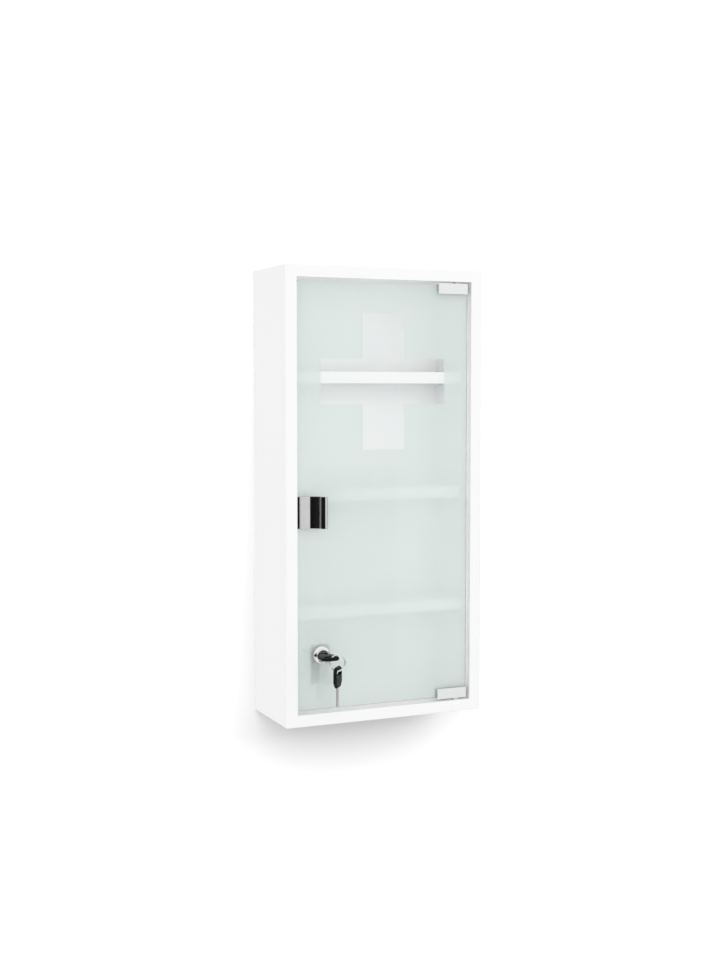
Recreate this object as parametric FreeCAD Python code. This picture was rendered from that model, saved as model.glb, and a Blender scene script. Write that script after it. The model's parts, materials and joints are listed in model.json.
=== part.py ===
import FreeCAD, Part
import math
import os

# Wall-hung medicine cabinet: lacquered board carcass, inset frosted glass door on pivot clips,
# clip-on pull with a magnetic catch, and a cam lock with its key and a spare on a split ring.
# Millimetres, +X to the right, +Y to the wall, +Z up.
# The origin lies on the rear plane, midway between the entry holes of the two wall hangers.

V = FreeCAD.Vector
along_x = V(1, 0, 0)
along_y = V(0, 1, 0)
along_z = V(0, 0, 1)

# Carcass
width = 270.0               # outside
height = 570.0              # outside
depth = 115.0               # outside
board = 15.0                # side, top and bottom panels
edge_bevel = 0.8            # broken outer edges of the lacquered boards
back_board = 4.0            # thin rear panel
back_inset = 10.0           # rear plane to the rear panel
groove_depth = 5.0          # rear panel into the boards
groove_play = 0.1           # on each face of the rear panel

# Fits
wood_fit = 0.05             # radial, for pins, bushes and the cam screw in their holes
hole_end_play = 0.5         # beyond the end of a pin or screw
running = 0.05              # radial running clearance
thrust_gap = 0.1

# Shelves and the pins that carry them
shelf_count = 3
shelf_end_space = 114.5      # clear height under the lowest and over the highest shelf
shelf_board = 15.0
shelf_play = 0.5            # to the side panels and the rear panel
shelf_clear = 1.0           # behind the catch and the swing of the door's hinge edge
shelf_bevel = 0.6
pin_r = 2.5
pin_cover = 6.0             # board left beyond a pin hole
pin_reach = 7.0             # out from the side panel
pin_seat = 1.8              # flat on top of a pin, above its axis
pin_inset = 14.0            # from the shelf's front and rear edges

# Keyhole hangers let into the rear edges of the side panels
hanger_drop = 50.0          # top of the carcass to the entry holes
hanger_width = 12.0
hanger_above = 27.0
hanger_below = 17.0
hanger_plate = 1.5
hanger_fit = 0.2
entry_r = 4.0
neck_r = 2.1
neck_rise = 10.0
pocket_r = 5.0              # room round the head of a wall screw
pocket_depth = 9.0

# Glass door
glass = 4.0
glass_recess = 6.0          # carcass front to glass front
glass_side_gap = 2.0
glass_end_gap = 4.0
glass_corner = 2.0
film = 0.2                  # frosted layer on the inner face
film_margin = 0.6
cross_arm = 57.0            # clear cross in the frosting, three arm widths tall and wide
cross_drop = 142.0          # carcass top to the cross's centre

# Pivot clips on the glass at the right, top and bottom
front_pad = 0.5
back_pad = 0.8
clip_width = 41.0
clip_grip = 11.5            # glass edge to the clip's free edge
clip_web = 1.5
clip_front = 3.0
clip_back = 2.5
clip_setback = 2.0          # glass side edge to clip end
clip_seat = 0.2             # glass edge to web
pad_margin = 1.0
pivot_inset = 17.5          # side panel to pivot axis
pivot_r = 2.0
bush_r = 4.0
bush_cover = 4.0            # board left beyond a bush hole
bush_end_play = 2.0         # pivot tip to the end of its bush

# Pull: a clamp over the glass edge, a flat face, and a scoop that ends in a round nose
pull_height = 40.0
pull_centre = 266.5         # carcass bottom to the pull's middle
pull_web = 1.0
pull_plate = 2.0
pull_flat = 13.0
pull_scoop = 11.0
pull_nose = 4.5
pull_back = 2.5
pull_back_reach = 16.0
pull_corner = 0.8

# Magnetic catch on the left panel and the steel plate that it holds
strike_plate = 1.2
strike_width = 11.0
strike_height = 18.0
strike_inset = 2.5
catch_gap = 0.1
catch_width = 12.0          # out from the side panel
catch_depth = 9.6
catch_height = 24.0
catch_wall = 1.6
catch_bevel = 0.8
catch_ear = 9.0
catch_ear_board = 2.6
pole_plate = 1.2
pole_proud = 0.5
pole_fit = 0.1

# Cam lock through the glass
lock_inset = 33.5           # left panel to lock axis
lock_height = 88.0          # carcass bottom to lock axis
barrel_r = 9.0
barrel_fit = 0.6
bezel_r = 11.0
collar_r = 8.0
collar_height = 7.5         # in front of the glass
gasket = 0.8
gasket_overlap = 1.6
nut_flats = 24.0
nut = 4.0
plug_r = 5.5
plug_rim_r = 6.5
plug_rim = 2.4
plug_sunk = 0.4
drive_flats = 7.0
drive_fit = 0.1
cam = 2.0
cam_half = 6.0
cam_hub_r = 8.0
cam_bite = 6.5              # locked cam into the side panel
cam_corner = 1.5
cam_play = 1.5
cam_screw_r = 2.0
cam_screw_flats = 7.0
cam_screw_head = 2.4
cam_screw_length = 5.0
plug_wall = 1.5             # between the keyway and the tapped hole

# Key with a moulded bow, one in the lock and a spare
key_width = 7.0
key_thick = 2.0
key_length = 26.0
key_tip = 2.4
key_fit = 0.15
key_tang = 8.0
bitting = (0.8, 1.5, 0.6, 1.2, 0.9)
bitting_start = 7.0
bitting_pitch = 3.2
bow_front = 10.0            # glass front to the bow of the key in the lock
bow_width = 23.0
bow_length = 26.0
bow_thick = 4.4
bow_neck = 13.0
bow_shoulder = 6.5
bow_corner = 7.0
bow_soft = 1.0              # bevel round the bow's faces
bow_rim = 3.2               # round the ring hole
bow_hole_length = 7.0
bow_hole_corner = 1.6

# Split ring and how the spare hangs on it
ring_r = 11.0
ring_wire = 1.7             # radial
ring_coil = 1.2             # along the ring's axis, each of two turns
ring_split = 0.8
ring_ends = ((-1, 200.0), (1, 230.0))    # face and turn, degrees, of each free end
ring_play = 0.5
spare_play = 1.6            # ring to the edge of the spare's hole
spare_turn = 41.0           # degrees, the spare's face turned from the ring's tangent

# Places that follow from the sizes above
half_width = width / 2
inner_x = half_width - board
top = hanger_drop
bottom = top - height
ceiling = top - board
floor = bottom + board
middle = (ceiling + floor) / 2
front = -depth
back_rear = -back_inset
back_front = back_rear - back_board

glass_front = front + glass_recess
glass_mid = glass_front + glass / 2
glass_back = glass_front + glass
film_back = glass_back + film
glass_left = -inner_x + glass_side_gap
glass_right = inner_x - glass_side_gap
glass_top = ceiling - glass_end_gap
glass_bottom = floor + glass_end_gap
slot_front = glass_front - front_pad
slot_back = film_back + back_pad

pivot_x = inner_x - pivot_inset
clip_right = glass_right - clip_setback
clip_left = clip_right - clip_width
clip_low = glass_top - clip_grip
clip_top = glass_top + clip_seat + clip_web
clip_face = slot_front - clip_front
clip_rear = slot_back + clip_back
hinge_swing = math.hypot(glass_right - pivot_x, max(glass_mid - clip_face, clip_rear - glass_mid))

pull_left = glass_left - clip_seat - pull_web
pull_z = bottom + pull_centre
pull_low = pull_z - pull_height / 2
pull_rear = slot_back + pull_back
strike_rear = pull_rear + strike_plate
pole_face = strike_rear + catch_gap
catch_front = pole_face + pole_proud
catch_rear = catch_front + catch_depth

shelf_front = max(catch_rear, glass_mid + hinge_swing) + shelf_clear
shelf_rear = back_front - shelf_play
shelf_lowest = floor + shelf_end_space + shelf_board / 2
shelf_pitch = 2 * (middle - shelf_lowest) / (shelf_count - 1)
shelf_centres = [shelf_lowest + i * shelf_pitch for i in range(shelf_count)]
pin_rows = (shelf_front + pin_inset, shelf_rear - pin_inset)
hanger_x = half_width - board / 2

lock_x = -inner_x + lock_inset
lock_z = bottom + lock_height
cam_length = lock_inset + cam_bite
cam_sweep = math.hypot(cam_length, cam_half)
key_shoulder = glass_front - bow_front
keyway_end = key_shoulder + key_length + key_fit
cam_rear = keyway_end + plug_wall + cam_screw_length
cam_front = cam_rear - cam
barrel_end = cam_front - thrust_gap

bow_hole_half = bow_width / 2 - bow_rim
bow_hole_end = bow_length - bow_rim
bar_reach = math.hypot(bow_rim / 2, bow_thick / 2)
ring_inner = ring_r - ring_wire
ring_mid = ring_r - ring_wire / 2
ring_x = lock_x + bow_width / 2 - bow_rim / 2
ring_y = key_shoulder - bow_hole_end + bow_hole_length / 2
ring_z = lock_z - (ring_inner - ring_play - bar_reach)
spare_pivot = V(ring_x, ring_y, ring_z - ring_mid)


# Basic shapes
def block(x, y, z):
    low = V(min(x), min(y), min(z))
    high = V(max(x), max(y), max(z))
    return Part.makeBox(high.x - low.x, high.y - low.y, high.z - low.z, low)


def rod(radius, start, end):
    return Part.makeCylinder(radius, (end - start).Length, start, end - start)


def prism(points, sweep):
    return Part.Face(Part.makePolygon(points + points[:1])).extrude(sweep)


# Round-ended slot whose end centres are start and end
def slot(radius, start, end, sweep):
    run = (end - start).normalize() * radius
    side = run.cross(sweep).normalize() * radius
    outline = Part.Wire([
        Part.LineSegment(start + side, end + side).toShape(),
        Part.Arc(end + side, end + run, end - side).toShape(),
        Part.LineSegment(end - side, start - side).toShape(),
        Part.Arc(start - side, start - run, start + side).toShape(),
    ])
    return Part.Face(outline).extrude(sweep)


def hexagon(flats, centre, sweep):
    radius = flats / math.sqrt(3)
    turns = [math.radians(60 * i) for i in range(6)]
    points = [centre + V(radius * math.cos(a), 0, radius * math.sin(a)) for a in turns]
    return prism(points, sweep)


# Body of revolution about an axis parallel to Y
def turned(points, x, z):
    face = Part.Face(Part.makePolygon(points + points[:1]))
    return face.revolve(V(x, 0, z), along_y, 360)


def lies_on(edge, axis, value):
    return all(abs(vertex.Point.dot(axis) - value) < 1e-6 for vertex in edge.Vertexes)


def runs_along(edge, axis):
    ends = edge.Vertexes
    if len(ends) < 2:
        return False
    return abs((ends[1].Point - ends[0].Point).normalize().dot(axis)) > 0.999


def mirrored_down(shape):
    return shape.mirror(V(0, 0, middle), along_z)


def save(name, *solids):
    shape = solids[0] if len(solids) == 1 else Part.makeCompound(list(solids))
    shape.exportStep("parts/" + name + ".step")


# Shelf pins: plain pegs in the side panels, with a flat under the shelf
def pin_axes():
    for centre in shelf_centres:
        for y in pin_rows:
            for side in (-1, 1):
                yield V(side * inner_x, y, centre - shelf_board / 2 - pin_seat), side


def shelf_pins():
    pins = []
    for face, side in pin_axes():
        outer = face + along_x * side * (board - pin_cover)
        inner = face - along_x * side * pin_reach
        seat = face.z + pin_seat
        above = block((face.x, inner.x), (face.y - pin_r, face.y + pin_r), (seat, seat + pin_r))
        pins.append(rod(pin_r, outer, inner).cut(above))
    return pins


def pin_holes():
    return [rod(pin_r + wood_fit, face, face + along_x * side * (board - pin_cover + hole_end_play))
            for face, side in pin_axes()]


# Keyhole hangers
def hanger_outline(side, fit, y):
    reach = hanger_width / 2 + fit
    return block((side * hanger_x - reach, side * hanger_x + reach), y,
                 (-hanger_below - fit, hanger_above + fit))


def hanger_plate_at(side):
    entry = V(side * hanger_x, 0, 0)
    through = V(0, -hanger_plate, 0)
    keyhole = rod(entry_r, entry, entry + through).fuse(
        slot(neck_r, entry, entry + along_z * neck_rise, through))
    return hanger_outline(side, 0, (-hanger_plate, 0)).cut(keyhole)


def hanger_recess(side):
    x = (side * hanger_x - pocket_r, side * hanger_x + pocket_r)
    y = (-hanger_plate - pocket_depth, -hanger_plate)
    pocket = block(x, y, (-pocket_r, neck_rise + pocket_r))
    return [hanger_outline(side, hanger_fit, (-hanger_plate, 0)), pocket]


# Boards
def outer_edges(panel, side):
    wanted = []
    for edge in panel.Edges:
        on_outside = lies_on(edge, along_x, side * half_width) and not lies_on(edge, along_y, 0)
        on_front_end = runs_along(edge, along_x) and lies_on(edge, along_y, front)
        if on_outside or on_front_end:
            wanted.append(edge)
    return wanted


def back_groove():
    return block((-inner_x - groove_depth, inner_x + groove_depth),
                 (back_front - groove_play, back_rear + groove_play),
                 (floor - groove_depth, ceiling + groove_depth))


def cam_mortise():
    low = lock_z - math.sqrt(cam_sweep ** 2 - lock_inset ** 2) - cam_play
    high = lock_z + cam_half + cam_play
    y = (cam_front + cam_rear) / 2
    cut = cam_sweep - lock_inset + cam_play
    return slot(cam / 2 + cam_play, V(-inner_x, y, low), V(-inner_x, y, high), V(-cut, 0, 0))


def side_panel(side):
    panel = block((side * inner_x, side * half_width), (front, 0), (bottom, top))
    panel = panel.makeChamfer(edge_bevel, outer_edges(panel, side))
    cuts = [back_groove()] + pin_holes() + hanger_recess(side)
    if side < 0:
        cuts.append(cam_mortise())
    return panel.cut(cuts)


def end_panel(up):
    outer, inner = (top, ceiling) if up else (bottom, floor)
    panel = block((-inner_x, inner_x), (front, 0), (outer, inner))
    lip = [e for e in panel.Edges if lies_on(e, along_z, outer) and lies_on(e, along_y, front)]
    panel = panel.makeChamfer(edge_bevel, lip)
    bush_bore = rod(bush_r + wood_fit, V(pivot_x, glass_mid, ceiling),
                    V(pivot_x, glass_mid, top - bush_cover))
    if not up:
        bush_bore = mirrored_down(bush_bore)
    return panel.cut([back_groove(), bush_bore])


def back_panel():
    reach = groove_depth - groove_play
    return block((-inner_x - reach, inner_x + reach), (back_front, back_rear),
                 (floor - reach, ceiling + reach))


def shelf(centre):
    panel = block((shelf_play - inner_x, inner_x - shelf_play), (shelf_front, shelf_rear),
                  (centre - shelf_board / 2, centre + shelf_board / 2))
    nose = [e for e in panel.Edges if runs_along(e, along_x) and lies_on(e, along_y, shelf_front)]
    return panel.makeChamfer(shelf_bevel, nose)


# Hinges, drawn for the top and mirrored for the bottom
def hinge_bush():
    low = V(pivot_x, glass_mid, clip_top + thrust_gap)
    high = V(pivot_x, glass_mid, top - bush_cover)
    return rod(bush_r, low, high).cut(rod(pivot_r + running, low, high))


def hinge_clip():
    body = block((clip_left, clip_right), (clip_face, clip_rear), (clip_low, clip_top))
    seat = glass_top + clip_seat
    mouth = block((clip_left, clip_right), (slot_front, slot_back), (clip_low, seat))
    tip = top - bush_cover - bush_end_play
    pivot = rod(pivot_r, V(pivot_x, glass_mid, clip_top), V(pivot_x, glass_mid, tip))
    return body.cut(mouth).fuse(pivot).removeSplitter()


def clip_pads():
    x = (clip_left + pad_margin, clip_right - pad_margin)
    z = (clip_low + pad_margin, glass_top - pad_margin)
    return [block(x, (slot_front, glass_front), z), block(x, (film_back, slot_back), z)]


# Door glass and its frosting, which leaves a clear cross
def lock_hole(radius):
    return rod(radius, V(lock_x, front, lock_z), V(lock_x, barrel_end, lock_z))


def door_glass():
    pane = block((glass_left, glass_right), (glass_front, glass_back), (glass_bottom, glass_top))
    pane = pane.makeChamfer(glass_corner, [e for e in pane.Edges if runs_along(e, along_y)])
    return pane.cut(lock_hole(barrel_r + barrel_fit))


def frosted_film():
    sheet = block((glass_left + film_margin, glass_right - film_margin), (glass_back, film_back),
                  (glass_bottom + film_margin, glass_top - film_margin))
    half = cross_arm / 2
    z = top - cross_drop
    upright = block((-half, half), (glass_back, film_back), (z - 3 * half, z + 3 * half))
    bar = block((-3 * half, 3 * half), (glass_back, film_back), (z - half, z + half))
    return sheet.cut([upright.fuse(bar), lock_hole(barrel_r + barrel_fit)])


# Pull: the outline is drawn from its left end, u to the right and t out from the glass
def handle_pull():
    face = front_pad + pull_plate
    inner = glass_front - slot_back
    outer = inner - pull_back
    nose_t = face + pull_scoop
    nose_u = pull_flat + pull_scoop + pull_nose
    belly = nose_t - front_pad
    belly_u = nose_u + pull_nose - belly
    slant = math.sqrt(0.5)

    def at(u, t):
        return V(pull_left + u, glass_front - t, pull_low)

    def line(a, b):
        return Part.LineSegment(at(*a), at(*b)).toShape()

    def arc(a, b, c):
        return Part.Arc(at(*a), at(*b), at(*c)).toShape()

    leg_tip = (pull_back_reach, inner)
    leg_root = (pull_web, inner)
    plate_root = (pull_web, front_pad)
    plate_end = (belly_u, front_pad)
    belly_mid = (belly_u + belly * slant, nose_t - belly * slant)
    nose_right = (nose_u + pull_nose, nose_t)
    nose_tip = (nose_u, nose_t + pull_nose)
    nose_left = (nose_u - pull_nose, nose_t)
    scoop_mid = (pull_flat + pull_scoop * slant, nose_t - pull_scoop * slant)
    flat_end = (pull_flat, face)
    flat_start = (pull_corner, face)
    corner_mid = (pull_corner * (1 - slant), face - pull_corner * (1 - slant))
    web_front = (0, face - pull_corner)
    web_rear = (0, outer)
    leg_rear = (pull_back_reach, outer)
    outline = Part.Wire([
        line(leg_tip, leg_root),
        line(leg_root, plate_root),
        line(plate_root, plate_end),
        arc(plate_end, belly_mid, nose_right),
        arc(nose_right, nose_tip, nose_left),
        arc(nose_left, scoop_mid, flat_end),
        line(flat_end, flat_start),
        arc(flat_start, corner_mid, web_front),
        line(web_front, web_rear),
        line(web_rear, leg_rear),
        line(leg_rear, leg_tip),
    ])
    return Part.Face(outline).extrude(along_z * pull_height)


def pull_pads():
    x = (pull_left + pull_web + clip_seat, pull_left + pull_flat)
    z = (pull_low + pad_margin, pull_low + pull_height - pad_margin)
    return [block(x, (slot_front, glass_front), z), block(x, (film_back, slot_back), z)]


def catch_strike():
    x = pull_left + strike_inset
    return block((x, x + strike_width), (pull_rear, strike_rear),
                 (pull_z - strike_height / 2, pull_z + strike_height / 2))


# Magnetic catch: two steel poles and a magnet in a moulded housing with two ears
def pole_sides():
    near = catch_wall - inner_x + pole_fit
    far = catch_width - inner_x - catch_wall - pole_fit
    return (near, near + pole_plate), (far - pole_plate, far)


def catch_pocket_height(fit):
    return (pull_z - catch_height / 2 + catch_wall - fit, pull_z + catch_height / 2 - catch_wall + fit)


def catch_housing():
    x = (-inner_x, catch_width - inner_x)
    body = block(x, (catch_front, catch_rear), (pull_z - catch_height / 2, pull_z + catch_height / 2))
    body = body.makeChamfer(catch_bevel, [e for e in body.Edges if lies_on(e, along_x, x[1])])
    reach = catch_height / 2 + catch_ear
    ears = block((x[0], x[0] + catch_ear_board), (catch_front, catch_rear),
                 (pull_z - reach, pull_z + reach))
    ears = ears.makeChamfer(catch_bevel, [e for e in ears.Edges if runs_along(e, along_x)])
    pocket = block((x[0] + catch_wall, x[1] - catch_wall), (catch_front, catch_rear - catch_wall),
                   catch_pocket_height(0))
    return body.fuse(ears).cut(pocket).removeSplitter()


def catch_poles():
    y = (pole_face, catch_rear - catch_wall)
    return [block(x, y, catch_pocket_height(-pole_fit)) for x in pole_sides()]


def catch_magnet():
    near, far = pole_sides()
    return block((near[1], far[0]), (catch_front, catch_rear - catch_wall), catch_pocket_height(-pole_fit))


# Lock: y places measured from the glass
def lock_point(radius, y):
    return V(lock_x + radius, y, lock_z)


def lock_housing():
    seat = glass_front - gasket
    face = glass_front - collar_height
    slope = (seat + face) / 2
    rim_seat = face + plug_sunk + plug_rim
    points = [
        lock_point(plug_r + running, barrel_end),
        lock_point(barrel_r, barrel_end),
        lock_point(barrel_r, seat),
        lock_point(bezel_r, seat),
        lock_point(collar_r, slope),
        lock_point(collar_r, face),
        lock_point(plug_rim_r + running, face),
        lock_point(plug_rim_r + running, rim_seat),
        lock_point(plug_r + running, rim_seat),
    ]
    return turned(points, lock_x, lock_z)


# A round gasket under the bezel and a square pad under the nut
def lock_gaskets():
    inner = barrel_r + barrel_fit / 2
    half = nut_flats / 2
    bore = lock_hole(inner)
    ring = rod(inner + gasket_overlap, V(lock_x, glass_front - gasket, lock_z),
               V(lock_x, glass_front, lock_z))
    pad = block((lock_x - half, lock_x + half), (film_back, film_back + gasket),
                (lock_z - half, lock_z + half))
    return [ring.cut(bore), pad.cut(bore)]


def lock_nut():
    start = V(lock_x, film_back + gasket, lock_z)
    blank = hexagon(nut_flats, start, along_y * nut)
    return blank.cut(rod(barrel_r + running, start, start + along_y * nut))


def lock_plug():
    face = glass_front - collar_height + plug_sunk
    rim_rear = face + plug_rim - thrust_gap
    rim = rod(plug_rim_r, V(lock_x, face, lock_z), V(lock_x, rim_rear, lock_z))
    stem = rod(plug_r, V(lock_x, rim_rear, lock_z), V(lock_x, barrel_end, lock_z))
    half = drive_flats / 2
    drive = block((lock_x - half, lock_x + half), (barrel_end, cam_rear), (lock_z - half, lock_z + half))
    reach = key_width / 2 + key_fit
    keyway = block((lock_x - reach, lock_x + reach), (face, keyway_end),
                   (lock_z - key_thick / 2 - key_fit, lock_z + key_thick / 2 + key_fit))
    tapped = rod(cam_screw_r + wood_fit, V(lock_x, cam_rear, lock_z),
                 V(lock_x, cam_rear - cam_screw_length, lock_z))
    return rim.fuse([stem, drive]).removeSplitter().cut([keyway, tapped])


# The cam points down when unlocked
def lock_cam():
    hub = rod(cam_hub_r, V(lock_x, cam_front, lock_z), V(lock_x, cam_rear, lock_z))
    arm = block((lock_x - cam_half, lock_x + cam_half), (cam_front, cam_rear),
                (lock_z - cam_length, lock_z))
    tip = [e for e in arm.Edges if runs_along(e, along_y) and lies_on(e, along_z, lock_z - cam_length)]
    arm = arm.makeFillet(cam_corner, tip)
    half = drive_flats / 2 + drive_fit
    drive = block((lock_x - half, lock_x + half), (cam_front, cam_rear),
                  (lock_z - half, lock_z + half))
    return hub.fuse(arm).removeSplitter().cut(drive)


def cam_screw():
    seat = V(lock_x, cam_rear, lock_z)
    shank = rod(cam_screw_r, seat - along_y * (cam_screw_length - hole_end_play), seat)
    return shank.fuse(hexagon(cam_screw_flats, seat, along_y * cam_screw_head)).removeSplitter()


# Key, drawn with its shoulder at the origin, the tip along +Y and its faces across Z
def key_blade():
    half = key_width / 2
    edge = [V(-half, -key_tang, 0), V(-half, key_length - key_tip, 0), V(-key_thick / 2, key_length, 0),
            V(key_thick / 2, key_length, 0), V(half, key_length - key_tip, 0), V(half, -key_tang, 0)]
    blade = prism([p - along_z * key_thick / 2 for p in edge], along_z * key_thick)
    notches = []
    for i, cut in enumerate(bitting):
        y = bitting_start + i * bitting_pitch
        corners = [V(half, y - cut, 0), V(half - cut, y, 0), V(half, y + cut, 0)]
        notches.append(prism([p - along_z * key_thick / 2 for p in corners], along_z * key_thick))
    return blade.cut(notches)


def key_bow():
    neck = bow_neck / 2
    side = bow_width / 2
    low = along_z * (-bow_thick / 2)
    outline = [V(-neck, 0, 0), V(-side, -bow_shoulder, 0), V(-side, -bow_length, 0),
               V(side, -bow_length, 0), V(side, -bow_shoulder, 0), V(neck, 0, 0)]
    body = prism([p + low for p in outline], along_z * bow_thick)
    ends = [e for e in body.Edges if runs_along(e, along_z) and lies_on(e, along_y, -bow_length)]
    body = body.makeFillet(bow_corner, ends)
    faces = (bow_thick / 2, -bow_thick / 2)
    rims = [e for e in body.Edges if any(lies_on(e, along_z, z) for z in faces)]
    body = body.makeChamfer(bow_soft, rims)
    hole = block((-bow_hole_half, bow_hole_half), (-bow_hole_end, bow_hole_length - bow_hole_end),
                 (-bow_thick, bow_thick))
    hole = hole.makeChamfer(bow_hole_corner, [e for e in hole.Edges if runs_along(e, along_z)])
    return body.cut([hole, key_blade()])


def placed(shape, rotation, base):
    copy = shape.copy()
    copy.Placement = FreeCAD.Placement(base, rotation)
    return copy


def key_in_lock(shape):
    return placed(shape, FreeCAD.Rotation(), V(lock_x, key_shoulder, lock_z))


# The spare hangs tip down, its ring hole resting on the bottom of the split ring
def spare_key(shape):
    tip_down = FreeCAD.Rotation(along_x, -90)
    turn = FreeCAD.Rotation(along_z, 90 - spare_turn)
    rotation = turn.multiply(tip_down)
    hole_edge = rotation.multVec(V(0, -bow_hole_end, 0))
    return placed(shape, rotation, spare_pivot + along_z * (ring_wire / 2 + spare_play) - hole_edge)


# Split ring: two turns side by side, each with a gap between its ends
def key_ring():
    y = (ring_y - ring_coil, ring_y + ring_coil)
    ring = rod(ring_r, V(ring_x, y[0], ring_z), V(ring_x, y[1], ring_z)).cut(
        rod(ring_inner, V(ring_x, y[0], ring_z), V(ring_x, y[1], ring_z)))
    gaps = []
    for side, turn in ring_ends:
        gap = block((ring_x + ring_inner - ring_wire, ring_x + ring_r + ring_wire),
                    (ring_y, ring_y + side * 2 * ring_coil),
                    (ring_z - ring_split / 2, ring_z + ring_split / 2))
        gap.rotate(V(ring_x, ring_y, ring_z), along_y, turn)
        gaps.append(gap)
    return ring.cut(gaps)


def build():
    save("side_panel_left", side_panel(-1))
    save("side_panel_right", side_panel(1))
    save("top_panel", end_panel(True))
    save("bottom_panel", end_panel(False))
    save("back_panel", back_panel())
    for name, centre in zip(("lower", "middle", "upper"), shelf_centres):
        save("shelf_" + name, shelf(centre))
    save("shelf_pins", *shelf_pins())
    save("hanger_plate_left", hanger_plate_at(-1))
    save("hanger_plate_right", hanger_plate_at(1))

    save("hinge_bush_upper", hinge_bush())
    save("hinge_bush_lower", mirrored_down(hinge_bush()))
    save("hinge_clip_upper", hinge_clip())
    save("hinge_clip_lower", mirrored_down(hinge_clip()))
    save("hinge_clip_pads", *clip_pads(), *[mirrored_down(p) for p in clip_pads()])

    save("door_glass", door_glass())
    save("frosted_film", frosted_film())
    save("handle_pull", handle_pull())
    save("handle_pads", *pull_pads())
    save("catch_strike_plate", catch_strike())
    save("catch_housing", catch_housing())
    save("catch_pole_plates", *catch_poles())
    save("catch_magnet", catch_magnet())

    save("lock_housing", lock_housing())
    save("lock_gaskets", *lock_gaskets())
    save("lock_nut", lock_nut())
    save("lock_plug", lock_plug())
    save("lock_cam", lock_cam())
    save("cam_screw", cam_screw())
    save("key_blade", key_in_lock(key_blade()))
    save("key_bow", key_in_lock(key_bow()))
    save("key_ring", key_ring())
    save("spare_key_blade", spare_key(key_blade()))
    save("spare_key_bow", spare_key(key_bow()))


os.makedirs("parts", exist_ok=True)
build()
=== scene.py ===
import json
import math
import bpy
import bmesh
from mathutils import Matrix, Vector

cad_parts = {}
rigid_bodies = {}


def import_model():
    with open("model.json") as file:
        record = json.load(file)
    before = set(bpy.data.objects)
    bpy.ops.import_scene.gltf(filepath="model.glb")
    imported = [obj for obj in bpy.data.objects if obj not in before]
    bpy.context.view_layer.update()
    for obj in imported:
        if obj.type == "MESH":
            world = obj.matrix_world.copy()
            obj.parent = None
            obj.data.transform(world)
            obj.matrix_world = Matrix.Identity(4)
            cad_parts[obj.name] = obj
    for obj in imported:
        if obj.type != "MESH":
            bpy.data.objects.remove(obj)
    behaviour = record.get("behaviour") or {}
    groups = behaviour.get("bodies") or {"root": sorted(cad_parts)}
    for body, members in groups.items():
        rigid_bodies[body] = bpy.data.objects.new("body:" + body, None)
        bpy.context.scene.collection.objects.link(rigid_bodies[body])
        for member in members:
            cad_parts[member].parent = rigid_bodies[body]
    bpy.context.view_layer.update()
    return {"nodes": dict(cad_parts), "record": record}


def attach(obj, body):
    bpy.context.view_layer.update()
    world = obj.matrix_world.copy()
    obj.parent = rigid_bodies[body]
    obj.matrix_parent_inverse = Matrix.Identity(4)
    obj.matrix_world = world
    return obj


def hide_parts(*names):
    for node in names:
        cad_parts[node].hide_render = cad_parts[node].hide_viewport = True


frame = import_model()
scene = bpy.context.scene
scene.view_settings.view_transform = "Standard"
print("frame loaded", len(frame["nodes"]))


def lookAlong(thing, direction):
    thing.rotation_euler = Vector(direction).to_track_quat("-Z", "Y").to_euler()


# Camera, from the fit to the cabinet's corners in the photograph
cameraPlan = {
    "location": (-0.7387, -1.7064, -0.1018),
    "forward": (0.4030, 0.9129, -0.0648),
    "lens": 52.39, "sensor": 36, "near": 0.02,
}
cameraData = bpy.data.cameras.new("photoCamera")
cameraData.lens = cameraPlan["lens"]
cameraData.sensor_width = cameraPlan["sensor"]
cameraData.clip_start = cameraPlan["near"]
camera = bpy.data.objects.new("photoCamera", cameraData)
scene.collection.objects.link(camera)
camera.location = cameraPlan["location"]
lookAlong(camera, cameraPlan["forward"])
scene.camera = camera
print("camera set")


# Shader nodes: each is added with its settings and inputs, then sockets are joined in pairs
def setInputs(node, values):
    for label, value in values.items():
        node.inputs[label].default_value = value


def addNode(tree, kind, values=None, **settings):
    node = tree.nodes.new(kind)
    for setting, value in settings.items():
        setattr(node, setting, value)
    setInputs(node, values or {})
    return node


def join(tree, *pairs):
    for start, end in pairs:
        tree.links.new(start, end)


def mixShaders(tree, share, first, second):
    mix = addNode(tree, "ShaderNodeMixShader")
    join(tree, (share, mix.inputs["Fac"]), (first, mix.inputs[1]), (second, mix.inputs[2]))
    return mix.outputs["Shader"]


colourMix = {"first": 6, "second": 7, "result": 2}  # sockets of a Mix node that mixes colours
noiseSpan = {"From Min": 0.3, "From Max": 0.7}  # where most values of a noise lie


# Shader node groups
def newGroup(name, inputs, outputs):
    group = bpy.data.node_groups.new(name, "ShaderNodeTree")
    for way, sockets in (("INPUT", inputs), ("OUTPUT", outputs)):
        for label, kind in sockets.items():
            group.interface.new_socket(label, in_out=way, socket_type="NodeSocket" + kind)
    return group, addNode(group, "NodeGroupInput"), addNode(group, "NodeGroupOutput")


def addSpread(group, value, limits=None):
    spread = addNode(group, "ShaderNodeMapRange", noiseSpan)
    join(group, (value, spread.inputs["Value"]))
    if limits:
        join(
            group,
            (limits.outputs["Low"], spread.inputs["To Min"]),
            (limits.outputs["High"], spread.inputs["To Max"]))
    return spread.outputs["Result"]


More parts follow.
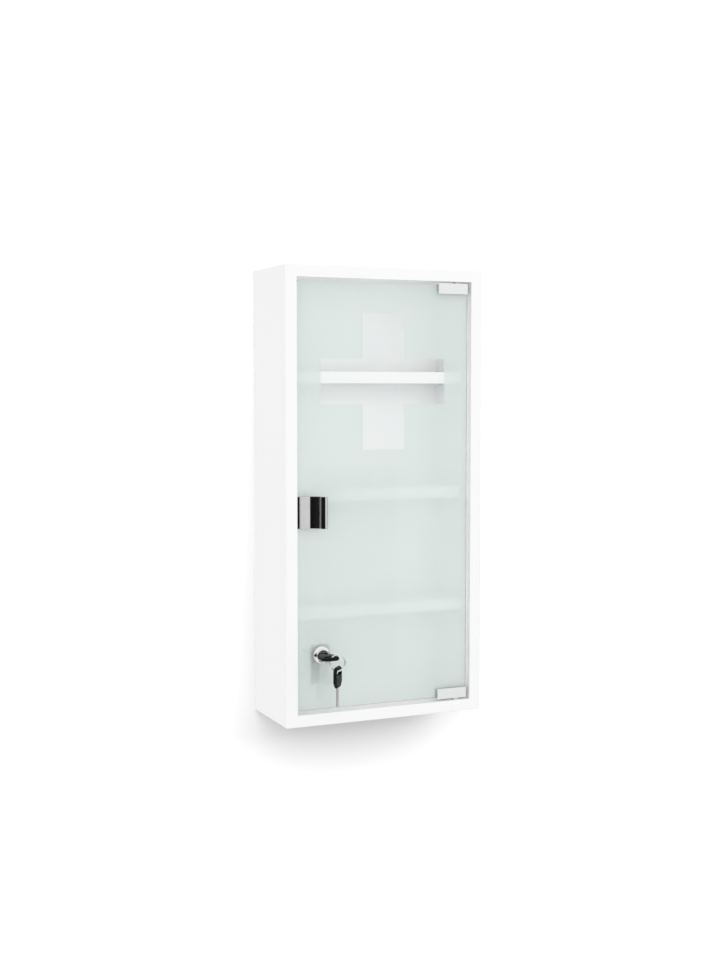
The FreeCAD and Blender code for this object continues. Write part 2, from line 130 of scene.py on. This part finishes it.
# Soft variation: a roughness between two values, a fine height and a slow tone
def makeGrain():
    group, entry, leave = newGroup(
        "surfaceGrain",
        {"Coarse": "Float", "Fine": "Float", "Low": "Float", "High": "Float"},
        {"Roughness": "Float", "Height": "Float", "Tone": "Float"})
    place = addNode(group, "ShaderNodeTexCoord")
    slow = addNode(group, "ShaderNodeTexNoise", {"Detail": 4.0, "Roughness": 0.6})
    quick = addNode(group, "ShaderNodeTexNoise", {"Detail": 2.0})
    for noise, scale in ((slow, "Coarse"), (quick, "Fine")):
        join(
            group,
            (place.outputs["Object"], noise.inputs["Vector"]),
            (entry.outputs[scale], noise.inputs["Scale"]))
    join(
        group,
        (addSpread(group, slow.outputs["Fac"], entry), leave.inputs["Roughness"]),
        (quick.outputs["Fac"], leave.inputs["Height"]),
        (slow.outputs["Fac"], leave.inputs["Tone"]))
    return group


# Fine parallel lines along one direction, for rolled and brushed metal
def makeLines():
    group, entry, leave = newGroup(
        "metalLines",
        {"Along": "Vector", "Low": "Float", "High": "Float"},
        {"Roughness": "Float", "Height": "Float"})
    place = addNode(group, "ShaderNodeTexCoord")
    stretch = addNode(group, "ShaderNodeVectorMath", operation="MULTIPLY")
    noise = addNode(group, "ShaderNodeTexNoise", {"Scale": 1.0, "Detail": 3.0})
    join(
        group,
        (place.outputs["Object"], stretch.inputs[0]),
        (entry.outputs["Along"], stretch.inputs[1]),
        (stretch.outputs["Vector"], noise.inputs["Vector"]),
        (addSpread(group, noise.outputs["Fac"], entry), leave.inputs["Roughness"]),
        (noise.outputs["Fac"], leave.inputs["Height"]))
    return group


# Two close colours mixed by a tone
def makeTint():
    group, entry, leave = newGroup(
        "slowTint", {"Tone": "Float", "Dark": "Color", "Light": "Color"}, {"Colour": "Color"})
    mix = addNode(group, "ShaderNodeMix", data_type="RGBA")
    join(
        group,
        (addSpread(group, entry.outputs["Tone"]), mix.inputs["Factor"]),
        (entry.outputs["Dark"], mix.inputs[colourMix["first"]]),
        (entry.outputs["Light"], mix.inputs[colourMix["second"]]),
        (mix.outputs[colourMix["result"]], leave.inputs["Colour"]))
    return group


grainGroup = makeGrain()
linesGroup = makeLines()
tintGroup = makeTint()
print("node groups made")


# Materials: a plan gives the two colours, the grain and the values set on the shader itself
# Where it also gives lines, they make the roughness and the relief, and the grain only the tone
def makeMaterial(name, plan):
    material = bpy.data.materials.new(name)
    material.use_nodes = True
    tree = material.node_tree
    shader = tree.nodes["Principled BSDF"]
    colours = {"Dark": (*plan["dark"], 1), "Light": (*plan["light"], 1)}
    tint = addNode(tree, "ShaderNodeGroup", colours, node_tree=tintGroup)
    grain = addNode(tree, "ShaderNodeGroup", plan["grain"], node_tree=grainGroup)
    surface = grain
    if "lines" in plan:
        surface = addNode(tree, "ShaderNodeGroup", plan["lines"], node_tree=linesGroup)
    bump = addNode(tree, "ShaderNodeBump", {"Strength": plan["bump"], "Distance": plan["relief"]})
    join(
        tree,
        (grain.outputs["Tone"], tint.inputs["Tone"]),
        (tint.outputs["Colour"], shader.inputs["Base Color"]),
        (surface.outputs["Roughness"], shader.inputs["Roughness"]),
        (surface.outputs["Height"], bump.inputs["Height"]),
        (bump.outputs["Normal"], shader.inputs["Normal"]))
    setInputs(shader, plan.get("shader", {}))
    return material


# Light from the lamps and the room passes through as if the material were clear
def letLightThrough(material):
    tree = material.node_tree
    path = addNode(tree, "ShaderNodeLightPath")
    clear = addNode(tree, "ShaderNodeBsdfTransparent")
    surface = tree.nodes["Principled BSDF"].outputs["BSDF"]
    for ray in ("Is Shadow Ray", "Is Diffuse Ray"):
        surface = mixShaders(tree, path.outputs[ray], surface, clear.outputs["BSDF"])
    join(tree, (surface, tree.nodes["Material Output"].inputs["Surface"]))


materialPlans = {
    "lacquer": {
        "dark": (0.95, 0.953, 0.958), "light": (0.966, 0.968, 0.972),
        "grain": {"Coarse": 9.0, "Fine": 420.0, "Low": 0.28, "High": 0.36},
        "bump": 0.12, "relief": 0.0002,
        "shader": {"Coat Weight": 0.25, "Coat Roughness": 0.12},
    },
    "back_board": {
        "dark": (0.962, 0.964, 0.966), "light": (0.975, 0.977, 0.978),
        "grain": {"Coarse": 14.0, "Fine": 1500.0, "Low": 0.42, "High": 0.55},
        "bump": 0.2, "relief": 0.0002,
    },
    "clear_glass": {
        "dark": (0.965, 0.99, 0.98), "light": (0.975, 0.995, 0.987),
        "grain": {"Coarse": 16.0, "Fine": 60.0, "Low": 0.0, "High": 0.02},
        "bump": 0.02, "relief": 0.0003,
        "shader": {"Transmission Weight": 1.0, "IOR": 1.5},
    },
    "frosting": {
        "dark": (0.80, 0.855, 0.832), "light": (0.815, 0.868, 0.846),
        "grain": {"Coarse": 7.0, "Fine": 5000.0, "Low": 0.3, "High": 0.36},
        "bump": 0.3, "relief": 0.00005,
        "shader": {"Transmission Weight": 0.56, "IOR": 1.2},
    },
    "chrome": {
        "dark": (0.90, 0.905, 0.91), "light": (0.93, 0.934, 0.938),
        "grain": {"Coarse": 90.0, "Fine": 1800.0, "Low": 0.04, "High": 0.09},
        "bump": 0.03, "relief": 0.0001,
        "shader": {"Metallic": 1.0},
    },
    "pull_chrome": {
        "dark": (0.69, 0.69, 0.69), "light": (0.73, 0.73, 0.73),
        "grain": {"Coarse": 90.0},
        "lines": {"Along": (700.0, 700.0, 12.0), "Low": 0.035, "High": 0.09},
        "bump": 0.05, "relief": 0.0001,
        "shader": {"Metallic": 1.0},
    },
    "ring_chrome": {
        "dark": (0.84, 0.844, 0.85), "light": (0.90, 0.904, 0.91),
        "grain": {"Coarse": 160.0, "Fine": 2000.0, "Low": 0.24, "High": 0.36},
        "bump": 0.08, "relief": 0.00008,
        "shader": {"Metallic": 1.0},
    },
    "zinc_steel": {
        "dark": (0.53, 0.545, 0.56), "light": (0.66, 0.67, 0.675),
        "grain": {"Coarse": 130.0},
        "lines": {"Along": (900.0, 900.0, 60.0), "Low": 0.27, "High": 0.46},
        "bump": 0.12, "relief": 0.0001,
        "shader": {"Metallic": 1.0},
    },
    "key_nickel": {
        "dark": (0.80, 0.788, 0.76), "light": (0.88, 0.868, 0.84),
        "grain": {"Coarse": 140.0},
        "lines": {"Along": (2200.0, 60.0, 60.0), "Low": 0.3, "High": 0.48},
        "bump": 0.1, "relief": 0.0001,
        "shader": {"Metallic": 1.0},
    },
    "black_plastic": {
        "dark": (0.005, 0.005, 0.005), "light": (0.009, 0.009, 0.0095),
        "grain": {"Coarse": 180.0, "Fine": 2600.0, "Low": 0.36, "High": 0.5},
        "bump": 0.2, "relief": 0.00008,
        "shader": {"Specular IOR Level": 0.14},
    },
    "white_plastic": {
        "dark": (0.80, 0.80, 0.785), "light": (0.85, 0.85, 0.84),
        "grain": {"Coarse": 160.0, "Fine": 2200.0, "Low": 0.38, "High": 0.5},
        "bump": 0.2, "relief": 0.0001,
        "shader": {"Subsurface Weight": 0.08},
    },
    "soft_pad": {
        "dark": (0.42, 0.43, 0.435), "light": (0.55, 0.56, 0.56),
        "grain": {"Coarse": 200.0, "Fine": 1800.0, "Low": 0.55, "High": 0.7},
        "bump": 0.25, "relief": 0.0001,
    },
    "ferrite": {
        "dark": (0.05, 0.05, 0.053), "light": (0.09, 0.09, 0.095),
        "grain": {"Coarse": 300.0, "Fine": 2400.0, "Low": 0.55, "High": 0.75},
        "bump": 0.4, "relief": 0.0002,
    },
}
materials = {name: makeMaterial(name, plan) for name, plan in materialPlans.items()}
letLightThrough(materials["clear_glass"])
letLightThrough(materials["frosting"])
print("materials made", len(materials))

# Every node takes the finish of its slot in the record
for subpart in frame["record"]["subparts"]:
    node = frame["nodes"][subpart["node"]]
    node.data.materials.clear()
    node.data.materials.append(materials[subpart["material_slot"]])
print("finishes given")

millimetre = 0.001
crease = 34  # degrees between faces that meet at a sharp edge

# Soft edges on the hard pieces, with their widths in millimetres
edgePlan = {
    "side_panel_left": 0.35, "side_panel_right": 0.35, "top_panel": 0.35, "bottom_panel": 0.35,
    "shelf_upper": 0.4, "shelf_middle": 0.4, "shelf_lower": 0.4,
    "hinge_clip_upper": 0.5, "hinge_clip_lower": 0.5,
    "catch_housing": 0.35, "catch_strike_plate": 0.25,
    "lock_nut": 0.5, "lock_cam": 0.3, "cam_screw": 0.3, "lock_plug": 0.2,
    "key_bow": 0.7, "spare_key_bow": 0.7, "key_blade": 0.15, "spare_key_blade": 0.15,
    "door_glass": 0.35, "handle_pads": 0.1, "hinge_clip_pads": 0.1,
}
edgeMake = {"merge": 0.000002, "segments": 2}
for node, width in edgePlan.items():
    modifiers = frame["nodes"][node].modifiers
    weld = modifiers.new("weld", "WELD")
    weld.merge_threshold = edgeMake["merge"]
    bevel = modifiers.new("edge", "BEVEL")
    bevel.width = width * millimetre
    bevel.segments = edgeMake["segments"]
    bevel.limit_method = "ANGLE"
    bevel.angle_limit = math.radians(crease)
    level = modifiers.new("level", "WEIGHTED_NORMAL")
    level.keep_sharp = True
print("edges softened", len(edgePlan))

# Pieces made here are drawn in millimetres and sit at the origin, with their place in the mesh
joinDistance = 0.0000005
rearward, inward = (0, 1, 0), (1, 0, 0)


def keepPiece(name, work, body, finish, replaced=(), look=None, sharp=crease):
    bmesh.ops.remove_doubles(work, verts=work.verts, dist=joinDistance)
    bmesh.ops.recalc_face_normals(work, faces=work.faces)
    mesh = bpy.data.meshes.new(name)
    work.to_mesh(mesh)
    work.free()
    mesh.shade_smooth()
    mesh.set_sharp_from_angle(angle=math.radians(sharp))
    mesh.materials.append(materials[look or finish])
    piece = bpy.data.objects.new(name, mesh)
    scene.collection.objects.link(piece)
    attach(piece, body)
    if replaced:
        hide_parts(*replaced)
    return piece


def toMetres(work):
    bmesh.ops.scale(work, vec=(millimetre, millimetre, millimetre), verts=work.verts)


def facing(point, direction):
    turn = Vector(direction).to_track_quat("Z", "Y").to_matrix().to_4x4()
    return Matrix.Translation(Vector(point) * millimetre) @ turn @ Matrix.Scale(millimetre, 4)


def edgesOf(verts):
    return list(dict.fromkeys(edge for vert in verts for edge in vert.link_edges))


def vertsIn(items):
    return [item for item in items if isinstance(item, bmesh.types.BMVert)]


def edgesIn(items):
    return [item for item in items if isinstance(item, bmesh.types.BMEdge)]


def pullOut(work, edges, grow, lift):
    made = bmesh.ops.extrude_edge_only(work, edges=edges)["geom"]
    verts = vertsIn(made)
    bmesh.ops.scale(work, vec=(grow, grow, 1), verts=verts)
    bmesh.ops.translate(work, vec=(0, 0, lift), verts=verts)
    return edgesIn(made)


def crossLoop(work, reach, half):
    corners = []
    for quarter in range(4):
        turn = Matrix.Rotation(quarter * math.pi / 2, 3, "Z")
        for corner in ((reach, -half, 0), (reach, half, 0), (half, half, 0)):
            corners.append(work.verts.new(turn @ Vector(corner)))
    for start, end in zip(corners, corners[1:] + corners[:1]):
        work.edges.new((start, end))
    return corners


# A screw head with its seat at z 0, a rounded rim and a sunk recess in its face
headMake = {"hexSides": 6, "rimSteps": 4}


def addHead(work, plan, place):
    before = set(work.verts)
    flat = plan["radius"] - plan["round"]
    rim = bmesh.ops.create_circle(work, radius=flat, segments=plan["sides"])["verts"]
    if "blade" in plan:
        recess = crossLoop(work, plan["drive"], plan["blade"])
    else:
        recess = bmesh.ops.create_circle(
            work, radius=plan["drive"], segments=headMake["hexSides"])["verts"]
    rimEdges, recessEdges = edgesOf(rim), edgesOf(recess)
    bmesh.ops.translate(work, vec=(0, 0, plan["height"]), verts=rim + recess)
    bmesh.ops.triangle_fill(work, use_beauty=True, edges=rimEdges + recessEdges)
    bottom = pullOut(work, recessEdges, plan["taper"], -plan["depth"])
    bmesh.ops.edgeloop_fill(work, edges=bottom)
    reached, steps = flat, headMake["rimSteps"]
    for step in range(steps):
        low, high = math.pi / 2 * step / steps, math.pi / 2 * (step + 1) / steps
        wider = flat + plan["round"] * math.sin(high)
        fall = plan["round"] * (math.cos(high) - math.cos(low))
        rimEdges = pullOut(work, rimEdges, wider / reached, fall)
        reached = wider
    rimEdges = pullOut(work, rimEdges, plan["foot"], plan["round"] - plan["height"])
    bmesh.ops.edgeloop_fill(work, edges=rimEdges)
    made = [vert for vert in work.verts if vert not in before]
    bmesh.ops.transform(work, matrix=place, verts=made)


# Grub screws that press the clips and the pull on to the glass
grubPlan = {
    "radius": 2.0, "round": 0.35, "sides": 28, "height": 0.8,
    "drive": 1.15, "depth": 0.7, "taper": 1.0, "foot": 1.0,
}
grubPlaces = {
    "clipGrubs": [
        (84, -101.5, 25.25), (107, -101.5, 25.25),
        (84, -101.5, -495.25), (107, -101.5, -495.25),
    ],
    "pullGrubs": [(-110.7, -101.5, -239.5), (-110.7, -101.5, -267.5)],
}
for name, points in grubPlaces.items():
    work = bmesh.new()
    for point in points:
        addHead(work, grubPlan, facing(point, rearward))
    keepPiece(name, work, "door", "zinc_steel")

# Pan-head screws through the ears of the catch
panPlan = {
    "radius": 2.7, "round": 1.2, "sides": 32, "height": 1.9,
    "drive": 1.25, "blade": 0.32, "depth": 1.1, "taper": 0.7, "foot": 1.0,
    "at": [(-117.4, -94.9, -237.0), (-117.4, -94.9, -270.0)],
}
work = bmesh.new()
for point in panPlan["at"]:
    addHead(work, panPlan, facing(point, inward))
keepPiece("catchScrews", work, "carcass", "zinc_steel")

# Hanger plates again, with sunk screw holes, and the screws that hold them
# The cone that sinks a hole starts at the plate's inner face and ends behind its outer one
hangerPlan = {
    "across": 127.5, "heights": (22.0, -12.0), "clear": 0.05,
    "throat": 1.8, "mouth": 3.6, "deep": 1.8, "middle": -0.6, "sides": 40,
}
sunkPlan = {
    "radius": 3.2, "round": 0.15, "sides": 32, "height": 1.3,
    "drive": 1.5, "blade": 0.36, "depth": 1.0, "taper": 0.6, "foot": 0.6,
}
for side, label in ((-1, "Left"), (1, "Right")):
    node = "hanger_plate_" + label.lower()
    across = side * hangerPlan["across"]
    seat = -sunkPlan["height"] - hangerPlan["clear"]
    work = bmesh.new()
    cutter = bmesh.new()
    for height in hangerPlan["heights"]:
        cone = bmesh.ops.create_cone(
            cutter, cap_ends=True, segments=hangerPlan["sides"], depth=hangerPlan["deep"],
            radius1=hangerPlan["throat"], radius2=hangerPlan["mouth"])["verts"]
        place = facing((across, hangerPlan["middle"], height), rearward)
        bmesh.ops.transform(cutter, matrix=place, verts=cone)
        addHead(work, sunkPlan, facing((across, seat, height), rearward))
    keepPiece("hangerScrews" + label, work, "carcass", "zinc_steel")
    cutMesh = bpy.data.meshes.new("sinkCutter")
    cutter.to_mesh(cutMesh)
    cutter.free()
    cutObject = bpy.data.objects.new("sinkCutter", cutMesh)
    scene.collection.objects.link(cutObject)
    plate = bmesh.new()
    plate.from_mesh(frame["nodes"][node].data)
    plateObject = keepPiece("hangerPlate" + label, plate, "carcass", "zinc_steel", (node,))
    sink = plateObject.modifiers.new("sink", "BOOLEAN")
    sink.object = cutObject
    bpy.context.view_layer.update()
    solved = plateObject.evaluated_get(bpy.context.evaluated_depsgraph_get())
    cutPlate = bpy.data.meshes.new_from_object(solved)
    plateObject.modifiers.clear()
    plateObject.data = cutPlate
    cutPlate.set_sharp_from_angle(angle=math.radians(crease))
    bpy.data.objects.remove(cutObject)
print("fasteners made")

# Lock body: a turned shell with a soft bezel, a collar and a threaded barrel
lockPlan = {
    "axis": (-86.5, -432.0), "turns": 72,
    "bezel": 11.0, "collar": 8.0, "barrel": 9.0, "bore": 5.7, "mouth": 6.7,
    "seat": -109.8, "slope": -113.15, "face": -116.5, "mouthEnd": -113.7, "rear": -88.55,
    "edge": 0.3, "upright": 0.7, "slopeSteps": 8, "lip": 0.45, "lipSteps": 4, "mouthEdge": 0.25,
    "thread": 0.35, "pitch": 1.0, "threadStart": -103.4,
}


# Points of radius and depth, from the rear round to the mouth
def lockProfile(plan):
    bezel, collar, barrel, mouth = plan["bezel"], plan["collar"], plan["barrel"], plan["mouth"]
    seat, face, edge, lip = plan["seat"], plan["face"], plan["edge"], plan["lip"]
    root, halfPitch = barrel - plan["thread"], plan["pitch"] / 2
    points = [(plan["bore"], plan["rear"]), (root, plan["rear"])]
    y = plan["rear"] - halfPitch
    while y > plan["threadStart"]:
        points += [(barrel, y), (root, y - halfPitch)]
        y -= plan["pitch"]
    points += [(barrel, plan["threadStart"]), (barrel, seat), (bezel - edge, seat)]
    points += [(bezel, seat - edge), (bezel, seat - plan["upright"])]
    wide, tall = bezel - collar, seat - plan["upright"] - plan["slope"]
    for step in range(1, plan["slopeSteps"] + 1):
        turn = math.pi / 2 * step / plan["slopeSteps"]
        y = seat - plan["upright"] - tall * math.sin(turn)
        points.append((collar + wide * math.cos(turn), y))
    for step in range(plan["lipSteps"] + 1):
        turn = math.pi / 2 * step / plan["lipSteps"]
        points.append((collar - lip * (1 - math.cos(turn)), face + lip * (1 - math.sin(turn))))
    points += [(mouth + plan["mouthEdge"], face), (mouth, face + plan["mouthEdge"])]
    return points + [(mouth, plan["mouthEnd"]), (plan["bore"], plan["mouthEnd"])]


axisX, axisZ = lockPlan["axis"]
work = bmesh.new()
loop = [work.verts.new((axisX + radius, y, axisZ)) for radius, y in lockProfile(lockPlan)]
edges = [work.edges.new(pair) for pair in zip(loop, loop[1:] + loop[:1])]
bmesh.ops.spin(
    work, geom=loop + edges, cent=(axisX, 0, axisZ), axis=(0, 1, 0),
    angle=math.tau, steps=lockPlan["turns"], use_merge=True)
toMetres(work)
keepPiece("lockBody", work, "door", "chrome", ("lock_housing",))
print("lock body turned")

# Split ring: flat wire in two turns, with a step across where the turns meet
ringPlan = {
    "centre": (-76.6, -138.3, -438.08), "radius": 10.15,
    "radial": 0.84, "axial": 0.57, "wireSides": 14, "coil": 0.6,
    "start": 205, "step": 34, "turnSteps": 60, "crossSteps": 8,
}
work = bmesh.new()
wire = bmesh.ops.create_circle(work, radius=1, segments=ringPlan["wireSides"])["verts"]
bmesh.ops.scale(work, vec=(ringPlan["radial"], ringPlan["axial"], 1), verts=wire)
bmesh.ops.translate(work, vec=(ringPlan["radius"], -ringPlan["coil"], 0), verts=wire)
startAngle = math.radians(ringPlan["start"] + ringPlan["step"] / 2)
bmesh.ops.rotate(
    work, cent=(0, 0, 0), verts=wire, matrix=Matrix.Rotation(startAngle, 3, "Y"))
bmesh.ops.edgeloop_fill(work, edges=edgesOf(wire))
ends = edgesOf(wire)
plainTurn = (360 - ringPlan["step"], ringPlan["turnSteps"], 0)
crossing = (ringPlan["step"], ringPlan["crossSteps"], 2 * ringPlan["coil"])
for sweep, steps, shift in (plainTurn, crossing, plainTurn):
    verts = list(dict.fromkeys(vert for edge in ends for vert in edge.verts))
    spun = bmesh.ops.spin(
        work, geom=verts + ends, cent=(0, 0, 0), axis=(0, 1, 0), dvec=(0, shift / steps, 0),
        angle=math.radians(sweep), steps=steps)
    ends = edgesIn(spun["geom_last"])
bmesh.ops.edgeloop_fill(work, edges=ends)
bmesh.ops.translate(work, vec=ringPlan["centre"], verts=work.verts)
toMetres(work)
keepPiece("splitRing", work, "ring", "chrome", ("key_ring",), "ring_chrome")
print("ring wound")

# Pull: outline seen from above, u to the right from its left end and t out from the glass
# A curve is its radius, the slopes at its start and end in degrees, and its steps
pullPlan = {
    "left": -119.2, "glass": -109.0, "low": -273.5, "tall": 40.0,
    "corner": (0.6, 90, 19, 5), "shoulder": (22.0, 19, 5, 6), "level": (9.0, 5, 0, 3),
    "face": 2.5, "flat": 16.0, "groove": (0.9, -0.08), "scoop": (15.9, 12, 58, 16),
    "lip": (0.4, 58, 84, 4), "step": 3.4, "nose": (6.6, 58, 8, 12),
    "crest": (11.0, 8, -4, 6), "edge": (0.9, -5, -90, 6), "belly": (8.5, -90, -180, 12),
    "pad": 0.5, "web": 1.0, "inner": -5.0, "outer": -7.5, "leg": 16.0,
    "soft": 0.3, "softSteps": 2, "sharp": 20, "even": 0.001,
}


def bend(points, radius, start, end, steps):
    u, t = points[-1]
    way = 1 if end > start else -1
    first = math.radians(start)
    for step in range(1, steps + 1):
        slope = math.radians(start + (end - start) * step / steps)
        along = u + way * radius * (math.sin(slope) - math.sin(first))
        points.append((along, t + way * radius * (math.cos(first) - math.cos(slope))))


def pullOutline(plan):
    points = [(0, plan["outer"]), (0, 0)]
    for part in ("corner", "shoulder", "level"):
        bend(points, *plan[part])
    drop = plan["face"] - points[-1][1]
    points = points[:1] + [(u, t + drop) for u, t in points[1:]]
    points.append((plan["flat"], plan["face"]))
    points.append((plan["flat"] + plan["groove"][0], plan["face"] + plan["groove"][1]))
    bend(points, *plan["scoop"])
    radius, low, steep, steps = plan["lip"]
    bend(points, radius, low, steep, steps)
    u, t = points[-1]
    points.append((u + plan["step"] / math.tan(math.radians(steep)), t + plan["step"]))
    bend(points, radius, steep, low, steps)
    for part in ("nose", "crest", "edge"):
        bend(points, *plan[part])
    points.append((points[-1][0], plan["pad"] + plan["belly"][0]))
    bend(points, *plan["belly"])
    points += [(plan["web"], plan["pad"]), (plan["web"], plan["inner"])]
    return points + [(plan["leg"], plan["inner"]), (plan["leg"], plan["outer"])]


work = bmesh.new()
outline = [
    work.verts.new((pullPlan["left"] + u, pullPlan["glass"] - t, pullPlan["low"]))
    for u, t in pullOutline(pullPlan)
]
section = work.faces.new(outline)
risen = bmesh.ops.extrude_face_region(work, geom=[section], use_keep_orig=True)["geom"]
bmesh.ops.translate(work, vec=(0, 0, pullPlan["tall"]), verts=vertsIn(risen))
bmesh.ops.recalc_face_normals(work, faces=work.faces)
rims = [
    edge for edge in work.edges
    if abs(edge.verts[0].co.z - edge.verts[1].co.z) < pullPlan["even"]
]
bmesh.ops.bevel(
    work, geom=rims, offset=pullPlan["soft"], offset_type="OFFSET",
    segments=pullPlan["softSteps"], profile=0.5, affect="EDGES", material=-1, clamp_overlap=True)
toMetres(work)
keepPiece(
    "doorPull", work, "door", "chrome", ("handle_pull",), "pull_chrome", pullPlan["sharp"])
print("pull drawn")

# Wall that the cabinet hangs on and a floor far below it: both pale, open from behind
stagePlan = {"gap": 0.0008, "half": 4.0, "wall": 0.712, "floor": 1.0, "drop": -1.3}


def addStage(name, corners, level):
    work = bmesh.new()
    work.faces.new([work.verts.new(corner) for corner in corners])
    mesh = bpy.data.meshes.new(name)
    work.to_mesh(mesh)
    work.free()
    paint = bpy.data.materials.new(name + "Paint")
    paint.use_nodes = True
    tree = paint.node_tree
    tree.nodes.remove(tree.nodes["Principled BSDF"])
    coat = addNode(tree, "ShaderNodeBsdfDiffuse", {"Color": (level, level, level, 1)})
    side = addNode(tree, "ShaderNodeNewGeometry")
    clear = addNode(tree, "ShaderNodeBsdfTransparent")
    surface = mixShaders(
        tree, side.outputs["Backfacing"], coat.outputs["BSDF"], clear.outputs["BSDF"])
    join(tree, (surface, tree.nodes["Material Output"].inputs["Surface"]))
    mesh.materials.append(paint)
    sheet = bpy.data.objects.new(name, mesh)
    scene.collection.objects.link(sheet)
    sheet.visible_diffuse = False
    sheet.visible_shadow = False
    sheet.visible_glossy = False
    return sheet


half, gap, drop = stagePlan["half"], stagePlan["gap"], stagePlan["drop"]
wallCorners = [(-half, gap, drop), (half, gap, drop), (half, gap, half), (-half, gap, half)]
floorCorners = [(-half, -half, drop), (half, -half, drop), (half, gap, drop), (-half, gap, drop)]
wall = addStage("stageWall", wallCorners, stagePlan["wall"])
floor = addStage("stageFloor", floorCorners, stagePlan["floor"])

# World: white to the eye, nearly even for soft light, banded for polished metal
# soft and open go by height, -1 to 1; where open is 0, polished metal mirrors the band,
# which goes by degrees round the cabinet, 0 in front and 90 to the right
worldPlan = {
    "soft": [(-1, 0.78), (-0.2, 0.79), (0.2, 0.89), (0.6, 0.9), (1, 0.86)],
    "open": [(-1, 1), (-0.42, 1), (-0.28, 0), (-0.02, 0), (0.07, 1), (1, 1)],
    "ceiling": 0.9,
    "band": [
        (-180, 0.95), (-150, 0.9), (-134, 0.6), (-118, 0.02), (-4, 0.006), (8, 0.8),
        (38, 0.86), (48, 0.02), (120, 0.04), (150, 0.8), (180, 0.9),
    ],
}


def addRamp(tree, stops, reach, blend):
    node = addNode(tree, "ShaderNodeValToRGB")
    node.color_ramp.interpolation = blend
    elements = node.color_ramp.elements
    while len(elements) < len(stops):
        elements.new(0.5)
    for element, (place, level) in zip(elements, stops):
        element.position = (place + reach) / (2 * reach)
        element.color = (level, level, level, 1)
    return node


world = bpy.data.worlds.new("studio")
scene.world = world
world.use_nodes = True
sky = world.node_tree
sky.nodes.clear()
direction = addNode(sky, "ShaderNodeTexCoord")
parts = addNode(sky, "ShaderNodeSeparateXYZ")
rise = addNode(sky, "ShaderNodeMapRange", {"From Min": -1.0})
front = addNode(sky, "ShaderNodeMath", {1: -1.0}, operation="MULTIPLY")
heading = addNode(sky, "ShaderNodeMath", operation="ARCTAN2")
share = addNode(sky, "ShaderNodeMapRange", {"From Min": -math.pi, "From Max": math.pi})
softRamp = addRamp(sky, worldPlan["soft"], 1, "EASE")
openRamp = addRamp(sky, worldPlan["open"], 1, "LINEAR")
bandRamp = addRamp(sky, worldPlan["band"], 180, "EASE")
ceiling = (worldPlan["ceiling"], worldPlan["ceiling"], worldPlan["ceiling"], 1)
mirrored = addNode(sky, "ShaderNodeMix", {colourMix["second"]: ceiling}, data_type="RGBA")
softBack = addNode(sky, "ShaderNodeBackground")
mirrorBack = addNode(sky, "ShaderNodeBackground")
eyeBack = addNode(sky, "ShaderNodeBackground", {"Color": (1, 1, 1, 1)})
path = addNode(sky, "ShaderNodeLightPath")
seen = addNode(sky, "ShaderNodeMath", operation="MAXIMUM")
worldOut = addNode(sky, "ShaderNodeOutputWorld")
join(
    sky,
    (direction.outputs["Generated"], parts.inputs["Vector"]),
    (parts.outputs["Z"], rise.inputs["Value"]),
    (rise.outputs["Result"], softRamp.inputs["Fac"]),
    (softRamp.outputs["Color"], softBack.inputs["Color"]),
    (parts.outputs["X"], heading.inputs[0]),
    (parts.outputs["Y"], front.inputs[0]),
    (front.outputs["Value"], heading.inputs[1]),
    (heading.outputs["Value"], share.inputs["Value"]),
    (share.outputs["Result"], bandRamp.inputs["Fac"]),
    (rise.outputs["Result"], openRamp.inputs["Fac"]),
    (openRamp.outputs["Color"], mirrored.inputs["Factor"]),
    (bandRamp.outputs["Color"], mirrored.inputs[colourMix["first"]]),
    (mirrored.outputs[colourMix["result"]], mirrorBack.inputs["Color"]),
    (path.outputs["Is Camera Ray"], seen.inputs[0]),
    (path.outputs["Is Transmission Ray"], seen.inputs[1]))
unseen = mixShaders(
    sky, path.outputs["Is Glossy Ray"],
    softBack.outputs["Background"], mirrorBack.outputs["Background"])
shown = mixShaders(sky, seen.outputs["Value"], unseen, eyeBack.outputs["Background"])
join(sky, (shown, worldOut.inputs["Surface"]))

# Two lamps light the cabinet, and the third lights the wall alone, for the shadow below
lampPlans = {
    "keyLamp": {
        "at": (0.1, -2.2, 0.12), "to": (0, 0, -0.25),
        "size": (1.4, 1.2), "energy": 8, "lights": "cabinetOnly",
    },
    "fillLamp": {
        "at": (-2.4, -0.25, -0.1), "to": (0, -0.06, -0.25),
        "size": (1.2, 1.6), "energy": 5.4, "lights": "cabinetOnly",
    },
    "wallLamp": {
        "at": (-0.1, -1.9, 0.98), "to": (-0.1, 0, 0.98),
        "size": (5.6, 2.0), "energy": 134, "lights": "wallOnly",
    },
}
receivers = {name: bpy.data.collections.new(name) for name in ("cabinetOnly", "wallOnly")}
for piece in scene.objects:
    if piece.type == "MESH" and piece not in (wall, floor):
        receivers["cabinetOnly"].objects.link(piece)
receivers["wallOnly"].objects.link(wall)
for name, plan in lampPlans.items():
    lampData = bpy.data.lights.new(name, "AREA")
    lampData.shape = "RECTANGLE"
    lampData.size, lampData.size_y = plan["size"]
    lampData.energy = plan["energy"]
    lamp = bpy.data.objects.new(name, lampData)
    scene.collection.objects.link(lamp)
    lamp.location = plan["at"]
    lookAlong(lamp, Vector(plan["to"]) - Vector(plan["at"]))
    lamp.visible_glossy = False
    lamp.visible_transmission = False
    lamp.light_linking.receiver_collection = receivers[plan["lights"]]
print("stage and light set")
